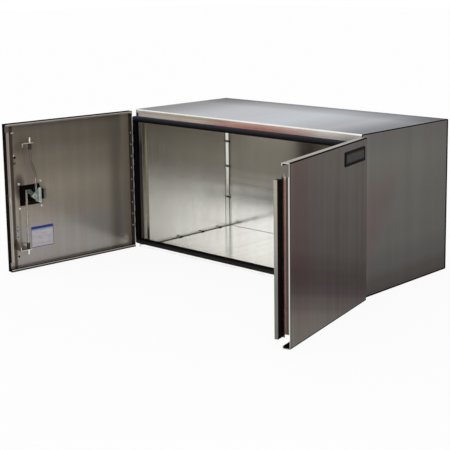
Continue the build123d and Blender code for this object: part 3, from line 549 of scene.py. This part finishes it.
def rightDoorPaint(tree, x, y, z):
    t = rightDoor
    along = maths(tree, "ABSOLUTE", x)
    leaned = minus(tree, z, times(tree, along, t["skinLean"]))
    # the outer skin's painted reflection and shade
    outer = tone(tree, leaned, t["skinShadeUp"])
    # the reddish painted reflection towards the free edge
    redReflection = both(tree, times(tree, above(tree, along, *t["redX"]), t["redAmount"]),
               above(tree, leaned, *t["redZ"]))
    outer = mixColour(tree, redReflection, outer, tinted(tree, outer, t["redReflection"]))
    # painted shade beside the bend, then the bend's painted highlight
    besideFold = times(tree, above(tree, along, t["outlineX"], 0.4), t["outlineAmount"])
    outer = mixColour(tree, besideFold, outer, rgb(*t["outline"]))
    outer = mixColour(tree, above(tree, along, t["foldX"], 0.2), outer, rgb(*t["foldHighlight"]))
    edge = mixColour(tree, above(tree, y, t["foldY"], 0.6), rgb(*t["foldHighlight"]), rgb(*t["shade"]))
    edge = mixColour(tree, above(tree, y, t["redBandY"], 1.5), edge,
                     tone(tree, z, t["redBand"]))
    edge = mixColour(tree, above(tree, y, t["greenBandY"], 1), edge,
                     tone(tree, z, t["greenBand"]))
    # the cut ends of the top and bottom flanges: a painted highlight round a hollow painted dark
    # as painted shade
    hollow = both(tree, band(tree, z, *t["hollowZ"], 0.3), band(tree, y, *t["hollowY"], 0.6))
    ends = mixColour(tree, hollow, rgb(*t["foldHighlight"]), rgb(*t["outline"]))
    edge = mixColour(tree, band(tree, z, *t["fullEdgeZ"], 1), ends, edge)
    onEdge = both(tree, above(tree, along, t["edgeX"], 0.4), above(tree, y, t["edgeY"], 0.3))
    within = above(tree, y, t["insideY"], 0.3)
    colour = mixColour(tree, within, outer, rgb(*t["inside"]))
    # the top flange's painted highlight
    colour = mixColour(tree, above(tree, z, t["flangeZ"], 0.2), colour, rgb(*t["flange"]))
    # painted shade in the top and bottom channels
    channel = both(tree, band(tree, y, *t["channelY"], 0.2),
                   either(tree, band(tree, z, *t["channelTop"], 0.3),
                          band(tree, z, *t["channelBottom"], 0.3)))
    # painted shade along the top and bottom edges
    ends = either(tree, above(tree, z, t["outlineTop"], 0.4),
                  below(tree, z, t["outlineBottom"], 0.4))
    dark = either(tree, both(tree, ends, below(tree, y, t["outlineY"], 1)), channel)
    colour = mixColour(tree, dark, colour, rgb(*t["outline"]))
    metal = times(tree, between(tree, within, 0, 1, 1.0, t["insideMetal"]),
                  between(tree, dark, 0, 1, 1.0, 0.0))
    return {"colour": mixColour(tree, onEdge, colour, edge), "metal": metal,
            "spec": dullWhere(tree, dark)}


# the overlap strip: its folded tip is painted lighter than its back and brighter towards the
# top, as painted light
strip = {
    "tipUp": ((0, (114, 112, 108)), (186, (122, 120, 115)), (366, (156, 155, 147)),
              (510, (170, 166, 155)), (600, (180, 174, 164))),
    "back": (130, 126, 118), "tipX": -607.5,
}


def stripPaint(tree, x, y, z):
    tip = below(tree, x, strip["tipX"], 0.5)
    return {"colour": mixColour(tree, tip, rgb(*strip["back"]), tone(tree, z, strip["tipUp"]))}


dress(brushed("leftDoorSheet", leftDoorPaint, "left", **leftDoor["look"]), "left_door_panel")
dress(brushed("rightDoorSheet", rightDoorPaint, "right", **rightDoor["look"]),
      "right_door_panel")
dress(brushed("stripSheet", stripPaint, "right"), "overlap_strip")

# rod guides: shelf and gusset mirror the door, and only their outer edges catch the light
guide = {"low": (160, 150, 138), "high": (112, 103, 94), "highY": (-20, 8), "highAmount": 0.3,
         "edge": (240, 235, 226), "edgeY": 8.6, "look": {"rough": 0.2, "metal": 0.35}}


def guidePaint(tree, x, y, z):
    out = times(tree, above(tree, y, *guide["highY"]), guide["highAmount"])
    colour = mixColour(tree, out, rgb(*guide["low"]), rgb(*guide["high"]))
    return {"colour": mixColour(tree, above(tree, y, guide["edgeY"], 0.5), colour,
                                rgb(*guide["edge"]))}


dress(brushed("guideSheet", guidePaint, "left", **guide["look"]), "upper_rod_guide",
      "lower_rod_guide")

# wear that the small metal pieces share
smallWear = {"grain": (0.6, 0.6, 0.2), "wide": (0.1, 0.1, 0.1), "wideDepth": 0.2,
             "tinge": 0.3, "metal": 0.7}

# hinges: the left barrel is painted brighter than the right one as painted light, and each joint
# between two knuckles is dark
hinge = {"barrel": (176, 168, 158), "rightBarrel": (100, 92, 86), "joint": (34, 30, 28),
         "leaf": (96, 84, 76), "barrelY": (-298.6, -290.4), "firstJoint": 62.5,
         "knuckle": 25.42, "jointEdge": (0.9, 24.5), "rough": 0.28}


def hingePaint(tree, x, y, z):
    fromJoint = maths(tree, "PINGPONG", minus(tree, z, hinge["firstJoint"]), hinge["knuckle"])
    near, far = hinge["jointEdge"]
    joint = either(tree, below(tree, fromJoint, near, 0.5), above(tree, fromJoint, far, 0.5))
    barrel = mixColour(tree, above(tree, x, 0, 1), rgb(*hinge["barrel"]),
                       rgb(*hinge["rightBarrel"]))
    barrel = mixColour(tree, joint, barrel, rgb(*hinge["joint"]))
    onBarrel = band(tree, y, *hinge["barrelY"], 0.4)
    return {"colour": mixColour(tree, onBarrel, rgb(*hinge["leaf"]), barrel)}


dress(brushed("hingeSteel", hingePaint, rough=hinge["rough"], **smallWear),
      "left_hinge_body_leaf", "right_hinge_body_leaf", "left_hinge_door_leaf",
      "right_hinge_door_leaf")

# lock rods: the ends that stick out of the guides catch the light, as painted highlights, and
# the lower rod is painted lighter than the upper as painted light
rods = {"lower": (172, 165, 157), "upper": (118, 109, 100), "upperZ": 375,
        "tip": (244, 240, 232), "tipZ": (92, 515), "rough": 0.25}


def rodPaint(tree, x, y, z):
    tip = either(tree, above(tree, z, rods["tipZ"][1], 2), below(tree, z, rods["tipZ"][0], 2))
    colour = mixColour(tree, above(tree, z, rods["upperZ"], 8), rgb(*rods["lower"]),
                       rgb(*rods["upper"]))
    return {"colour": mixColour(tree, tip, colour, rgb(*rods["tip"]))}


dress(brushed("rodSteel", rodPaint, rough=rods["rough"], **smallWear), "upper_lock_rod",
      "lower_lock_rod")

# cam: pressed ribs run from the pivot to both corners; the ribs and the folded edge are painted
# highlights, and the faces between the ribs are painted lighter and darker as painted light and
# shade
cam = {"wing": (134, 147, 141), "outer": (92, 101, 96), "ribHighlight": (198, 208, 202),
       "ribHalf": 1.3, "foldHighlight": (214, 221, 216), "foldX": 480.5, "pivot": (512.0, 304),
       "slope": 0.87, "rough": 0.3, "metal": 0.45}


def camPaint(tree, x, y, z):
    reach = times(tree, minus(tree, cam["pivot"][0], x), cam["slope"])
    rise = maths(tree, "ABSOLUTE", minus(tree, z, cam["pivot"][1]))
    off = minus(tree, rise, reach)
    colour = mixColour(tree, above(tree, off, 0, 2), rgb(*cam["wing"]), rgb(*cam["outer"]))
    onRib = below(tree, maths(tree, "ABSOLUTE", off), cam["ribHalf"], 0.8)
    colour = mixColour(tree, onRib, colour, rgb(*cam["ribHighlight"]))
    return {"colour": mixColour(tree, below(tree, x, cam["foldX"], 0.8), colour,
                                rgb(*cam["foldHighlight"]))}


dress(brushed("zincGreen", camPaint, "left", rough=cam["rough"],
              **dict(smallWear, metal=cam["metal"])), "cam_plate", "cam_pins")

# housing behind the dish: painted shadow by the dish, with a painted highlight on its far edge
housing = {"side": (122, 124, 120), "dark": (30, 27, 26), "darkX": 451.5,
           "edge": (214, 219, 212), "edgeX": 440.2, "rough": 0.3, "metal": 0.45}


def housingPaint(tree, x, y, z):
    colour = mixColour(tree, above(tree, x, housing["darkX"], 1), rgb(*housing["side"]),
                       rgb(*housing["dark"]))
    return {"colour": mixColour(tree, below(tree, x, housing["edgeX"], 0.6), colour,
                                rgb(*housing["edge"]))}


dress(brushed("housingGrey", housingPaint, "left", rough=housing["rough"],
              **dict(smallWear, metal=housing["metal"])), "latch_housing")

# plain small metal: (colour, roughness)
smallMetal = {
    "rivetSteel": ((206, 200, 190), 0.22), "boltZinc": ((246, 243, 237), 0.22),
    "chrome": ((190, 192, 192), 0.14), "pinSteel": ((150, 146, 140), 0.25),
    "brass": ((198, 170, 104), 0.2),
}


def plain(colour):
    return lambda tree, x, y, z: {"colour": rgb(*colour)}


metals = {name: brushed(name, plain(colour), rough=rough, **smallWear)
          for name, (colour, rough) in smallMetal.items()}
dress(metals["pinSteel"], "left_hinge_pin", "right_hinge_pin")
dress(metals["rivetSteel"], "left_body_leaf_rivets", "right_body_leaf_rivets",
      "left_door_leaf_rivets", "right_door_leaf_rivets", "overlap_strip_rivets",
      "guide_rivets")
dress(metals["boltZinc"], "dish_bolts", "dish_nuts", "spindle_nut")
dress(metals["chrome"], "t_handle")
dress(metals["brass"], "lock_barrel", "lock_plug")
print("doors and metal finished")

# black finishes: rubber of the door's seal, paint of the dish, plastic of the bushes
blackLook = {
    "sealRubber": {"low": (36, 35, 32), "high": (50, 49, 45), "rough": 0.6, "cell": 0.25,
                   "bump": (0.25, 0.0003), "spec": 0.06},
    "dishPaint": {"low": (9, 7, 7), "high": (19, 15, 15), "rough": 0.5, "cell": 0.5,
                  "bump": (0.2, 0.0003), "spec": 0.02},
    "bushPlastic": {"low": (48, 45, 42), "high": (64, 60, 57), "rough": 0.4, "cell": 0.5,
                    "bump": (0.1, 0.0003), "spec": 0.2},
}
# the seal's top run is painted a little blue as a painted reflection, and its edges inside the
# opening are painted black as painted shade
sealShade = {"blue": (48, 52, 76), "blueZ": (572, 585), "blueX": (-600, 150, 0.9, 0.5),
             "black": (7, 5, 8), "blackZ": ((52, 571, 5), (45, 60, 2))}


def sealColour(tree, vector, colour):
    x, y, z = split(tree, vector)
    # the top run's painted reflection
    blue = times(tree, between(tree, z, *sealShade["blueZ"]),
                 between(tree, x, *sealShade["blueX"]))
    colour = mixColour(tree, blue, colour, rgb(*sealShade["blue"]))
    # the edges' painted shade
    edges = either(tree, *(band(tree, z, *run) for run in sealShade["blackZ"]))
    return mixColour(tree, edges, colour, rgb(*sealShade["black"]))


def blackFinish(name):
    look = blackLook[name]
    mat, tree, shader = newMaterial(name)
    vector = place(tree)
    cells = noise(tree, vector, (look["cell"],) * 3, 4.0, 0.6)
    soft = noise(tree, vector, (0.01, 0.01, 0.01), 2.0, 0.5)
    colour = mixColour(tree, between(tree, cells, 0.35, 0.65), rgb(*look["low"]),
                       rgb(*look["high"]))
    colour = mixColour(tree, between(tree, soft, 0.3, 0.7, 0.0, 0.4), colour,
                       rgb(*look["low"]))
    if name == "sealRubber":
        colour = sealColour(tree, vector, colour)
    tree.links.new(colour, shader.inputs["Base Color"])
    low, high = (look["rough"] * share for share in sheetLook["roughSpread"])
    tree.links.new(between(tree, cells, 0.3, 0.7, low, high), shader.inputs["Roughness"])
    shader.inputs["Specular IOR Level"].default_value = look["spec"]
    bump(tree, shader, cells, *look["bump"])
    return mat


dress(blackFinish("sealRubber"), "door_seal")
dress(blackFinish("dishPaint"), "latch_dish", "overlap_seal")
dress(blackFinish("bushPlastic"), "upper_guide_bush", "lower_guide_bush")
print("black parts finished")


# added pieces: built in millimetres in the frame of the box or of a shut door
def toPlace(where):
    pin, turn = hang[where]["pin"], math.radians(hang[where]["turn"])
    back = Matrix.Translation((pin[0], pin[1], 0)) @ Matrix.Rotation(-turn, 4, "Z")
    return Matrix.Scale(0.001, 4) @ back


def finishPiece(name, bm, mat, body, where, smooth=False):
    bmesh.ops.transform(bm, matrix=toPlace(where), verts=bm.verts)
    bmesh.ops.recalc_face_normals(bm, faces=bm.faces)
    mesh = bpy.data.meshes.new(name)
    bm.to_mesh(mesh)
    bm.free()
    for face in mesh.polygons:
        face.use_smooth = smooth
    mesh.materials.append(mat)
    piece = bpy.data.objects.new(name, mesh)
    scene.collection.objects.link(piece)
    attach(piece, body)


# how fine the added shapes are, and the size of a disc's front as a share of its back
shaping = {"cornerSegments": 4, "beadLevel": 3, "discSegments": 20, "discTaper": 0.9}


def addPlate(bm, low, high, corner):
    # a plate in the XZ plane with rounded corners
    size, middle = Vector(high) - Vector(low), (Vector(high) + Vector(low)) / 2
    shape = Matrix.Translation(middle) @ Matrix.Diagonal((*size, 1))
    verts = bmesh.ops.create_cube(bm, size=1.0, matrix=shape)["verts"]
    edges = dict.fromkeys(e for v in verts for e in v.link_edges)  # the same order each run
    through = [e for e in edges
               if abs((e.verts[0].co - e.verts[1].co).normalized().y) > 0.9]
    bmesh.ops.bevel(bm, geom=through, offset=corner, segments=shaping["cornerSegments"],
                    affect="EDGES", profile=0.5, material=-1)


def addBead(bm, centre, size):
    shape = Matrix.Translation(centre) @ Matrix.Diagonal((*size, 1))
    bmesh.ops.create_icosphere(bm, subdivisions=shaping["beadLevel"], radius=0.5,
                               matrix=shape)


def addDisc(bm, centre, radius, thick):
    # a flat disc across the Y axis, a little smaller at its front
    turned = Matrix.Translation(centre) @ Matrix.Rotation(math.pi / 2, 4, "X")
    bmesh.ops.create_cone(bm, cap_ends=True, segments=shaping["discSegments"],
                          radius1=radius, radius2=radius * shaping["discTaper"],
                          depth=thick, matrix=turned)


# bare label on the left door's inner skin: pale paper, a blue head and thin borders
label = {
    "left": 399.0, "right": 503.2, "bottom": 82.0, "top": 168.6, "skin": -27.5, "thick": 0.25,
    "corner": 1.5, "paper": (186, 186, 196), "mottle": (212, 202, 204),
    "head": 11.0, "headBlue": (24, 42, 128), "underHead": 6.0, "paleBlue": (146, 166, 206),
    "border": 2.6, "rightBorder": 1.4, "leftPurple": (84, 74, 140), "borderBlue": (52, 66, 140),
    "cells": (0.05, 0.05, 0.16), "rough": (0.3, 0.42),
}


def labelFinish():
    mat, tree, shader = newMaterial("labelFilm")
    vector = place(tree, "left")
    x, y, z = split(tree, vector)
    mottle = noise(tree, vector, label["cells"], 3.0, 0.6)
    headZ = label["top"] - label["head"]
    colour = mixColour(tree, between(tree, mottle, 0.35, 0.65), rgb(*label["paper"]),
                       rgb(*label["mottle"]))
    for mask, name in (
            (above(tree, z, headZ - label["underHead"], 2), "paleBlue"),
            (above(tree, z, headZ, 1), "headBlue"),
            (below(tree, z, label["bottom"] + label["border"], 0.5), "borderBlue"),
            (below(tree, x, label["left"] + label["border"], 0.5), "leftPurple"),
            (above(tree, x, label["right"] - label["rightBorder"], 0.4), "borderBlue")):
        colour = mixColour(tree, mask, colour, rgb(*label[name]))
    tree.links.new(colour, shader.inputs["Base Color"])
    tree.links.new(between(tree, mottle, 0.3, 0.7, *label["rough"]), shader.inputs["Roughness"])
    return mat


bm = bmesh.new()
addPlate(bm, (label["left"], label["skin"], label["bottom"]),
         (label["right"], label["skin"] + label["thick"], label["top"]), label["corner"])
finishPiece("label_film", bm, labelFinish(), "left_door", "left")

# bare plate on the right door's face: a raised rim round a sunken field
badge = {
    "left": -196.0, "right": -27.4, "bottom": 525.6, "top": 576.4, "face": -29.5,
    "thick": 2.0, "corner": 2.5, "rim": 4.0, "sink": 0.8,
    "black": ((6, 5, 6), (10, 9, 10)), "field": ((64, 62, 61), (70, 67, 66)),
    "fieldX": (-182.0, -35.4, 5), "fieldZ": (536.6, 566.4, 4), "spec": 0.04,
    "speckCells": (0.7, 0.7, 0.7), "softCells": (0.03, 0.03, 0.05), "rough": (0.5, 0.65),
    "bump": (0.15, 0.0002),
}


def badgeFinish():
    mat, tree, shader = newMaterial("badgeEnamel")
    vector = place(tree, "right")
    x, y, z = split(tree, vector)
    speck = noise(tree, vector, badge["speckCells"], 3.0, 0.6)
    soft = noise(tree, vector, badge["softCells"], 2.0, 0.5)
    black = mixColour(tree, between(tree, speck, 0.35, 0.65),
                      *(rgb(*colour) for colour in badge["black"]))
    field = mixColour(tree, between(tree, soft, 0.35, 0.65),
                      *(rgb(*colour) for colour in badge["field"]))
    inField = both(tree, band(tree, x, *badge["fieldX"]), band(tree, z, *badge["fieldZ"]))
    tree.links.new(mixColour(tree, inField, black, field), shader.inputs["Base Color"])
    tree.links.new(between(tree, speck, 0.3, 0.7, *badge["rough"]), shader.inputs["Roughness"])
    shader.inputs["Specular IOR Level"].default_value = badge["spec"]
    bump(tree, shader, speck, *badge["bump"])
    return mat


bm = bmesh.new()
addPlate(bm, (badge["left"], badge["face"] - badge["thick"], badge["bottom"]),
         (badge["right"], badge["face"], badge["top"]), badge["corner"])
front = [f for f in bm.faces if f.normal.y < -0.9]
bmesh.ops.inset_region(bm, faces=front, thickness=badge["rim"])
bmesh.ops.inset_region(bm, faces=front, thickness=badge["sink"], depth=-badge["sink"])
finishPiece("badge_plate", bm, badgeFinish(), "right_door", "right")
print("label and badge added")

# tack welds along the end panels' flanges: a bead in a dark scorched patch
tack = {
    "uprightZ": (405.0, 287.0, 139.0), "corners": ((594.4, 277.5), (604.1, 275.0)),
    "uprightBead": (4.2, 3.3, 4.5), "uprightForward": 1.76, "uprightUp": 2,
    "uprightScorch": (10.8, 4.84, 10.8), "discRadius": 6.0, "discThick": 0.3,
    "discForward": 0.1, "floorY": (-42.0, 97.0, 212.0), "floorX": 597.4, "floorZ": 5.0,
    "floorBead": (4.2, 6.3, 4.4), "floorForward": 8, "floorUp": 1.6,
    "floorScorch": (8.4, 17.1, 4.84),
    "colour": (206, 200, 188),
}
beads, scorches = bmesh.new(), bmesh.new()
for side in (-1, 1):
    for z in tack["uprightZ"]:
        for x, y in tack["corners"]:
            addBead(scorches, (side * x, y, z), tack["uprightScorch"])
            addBead(beads, (side * x, y - tack["uprightForward"], z + tack["uprightUp"]),
                    tack["uprightBead"])
            addDisc(scorches, (side * x, y - tack["discForward"], z), tack["discRadius"],
                    tack["discThick"])
    for y in tack["floorY"]:
        x, z = side * tack["floorX"], tack["floorZ"]
        addBead(scorches, (x, y, z), tack["floorScorch"])
        addBead(beads, (x, y - tack["floorForward"], z + tack["floorUp"]), tack["floorBead"])
finishPiece("tack_beads", beads, brushed("weldBead", plain(tack["colour"]), **smallWear),
            "box", "box", True)
finishPiece("tack_scorch", scorches, blackFinish("dishPaint"), "box", "box")
print("tack welds added")

# marks along the left door's free edge. Bright ones: X, Z, width, height;
# dark ones: X, Z, radius
marks = {
    "skin": -27.5, "rim": -1.5, "rimFrom": 590.0, "colour": (214, 206, 196),
    "bright": ((565, 470, 10, 10), (566, 443, 6, 9), (570, 562, 18, 6), (557.6, 102, 5, 16),
               (566, 50, 10, 5), (603.8, 302, 6, 16), (604, 286, 5, 9)),
    "dark": ((563.5, 463, 5.5), (566, 441, 6), (577, 562, 4.5), (563.6, 180, 2.4),
             (563.6, 164, 2.8), (563.6, 138, 2.6), (563, 57, 4.5), (557, 93, 4)),
    "onSkinDepth": 1.0, "onRimDepth": 3.0, "darkDepth": 0.5,
}
raised, darkSpots = bmesh.new(), bmesh.new()
for x, z, wide, tall in marks["bright"]:
    # the shut seal lies close to the skin, so the marks on it stay low
    if x < marks["rimFrom"]:
        addBead(raised, (x, marks["skin"], z), (wide, marks["onSkinDepth"], tall))
    else:
        addBead(raised, (x, marks["rim"], z), (wide, marks["onRimDepth"], tall))
# dark discs on the skin by the free edge
for x, z, radius in marks["dark"]:
    addDisc(darkSpots, (x, marks["skin"], z), radius, marks["darkDepth"])
finishPiece("edge_marks", raised,
            brushed("markSteel", plain(marks["colour"]), "left", **smallWear), "left_door",
            "left", True)
finishPiece("edge_dark_spots", darkSpots, blackFinish("dishPaint"), "left_door", "left")
print("door marks added")

# floor, light and world: "whiteness" is how far the seen floor turns white over its shadow
studio = {"floor": (244, 244, 243), "floorRough": 0.9, "floorHalf": 30, "whiteness": 0.92,
          "worldLight": 0.9}


def seenRays(tree):
    # 1 for the rays that show the background, straight or in metal and glass
    path = tree.nodes.new("ShaderNodeLightPath")
    return either(tree, *(path.outputs["Is " + kind + " Ray"]
                          for kind in ("Camera", "Glossy", "Transmission")))


def addFloor():
    mat, tree, shader = newMaterial("paleFloor")
    shader.inputs["Base Color"].default_value = rgb(*studio["floor"])
    shader.inputs["Roughness"].default_value = studio["floorRough"]
    glow = tree.nodes.new("ShaderNodeEmission")
    glow.inputs[0].default_value = (1, 1, 1, 1)
    glow.inputs[1].default_value = 1.0
    blend = tree.nodes.new("ShaderNodeMixShader")
    tree.links.new(times(tree, seenRays(tree), studio["whiteness"]), blend.inputs[0])
    tree.links.new(shader.outputs[0], blend.inputs[1])
    tree.links.new(glow.outputs[0], blend.inputs[2])
    out = next(n for n in tree.nodes if n.type == "OUTPUT_MATERIAL")
    tree.links.new(blend.outputs[0], out.inputs[0])
    bm = bmesh.new()
    bmesh.ops.create_grid(bm, x_segments=1, y_segments=1, size=studio["floorHalf"])
    mesh = bpy.data.meshes.new("floor")
    bm.to_mesh(mesh)
    bm.free()
    floor = bpy.data.objects.new("floor", mesh)
    scene.collection.objects.link(floor)
    mesh.materials.append(mat)


def addWorld():
    world = bpy.data.worlds.new("studio")
    scene.world = world
    world.use_nodes = True
    tree = world.node_tree
    back = tree.nodes["Background"]
    back.inputs[0].default_value = (1, 1, 1, 1)
    strength = between(tree, seenRays(tree), 0, 1, studio["worldLight"], 1.0, soft=False)
    tree.links.new(strength, back.inputs[1])


addFloor()
addWorld()
scene.view_settings.view_transform = "Standard"
print("studio added")
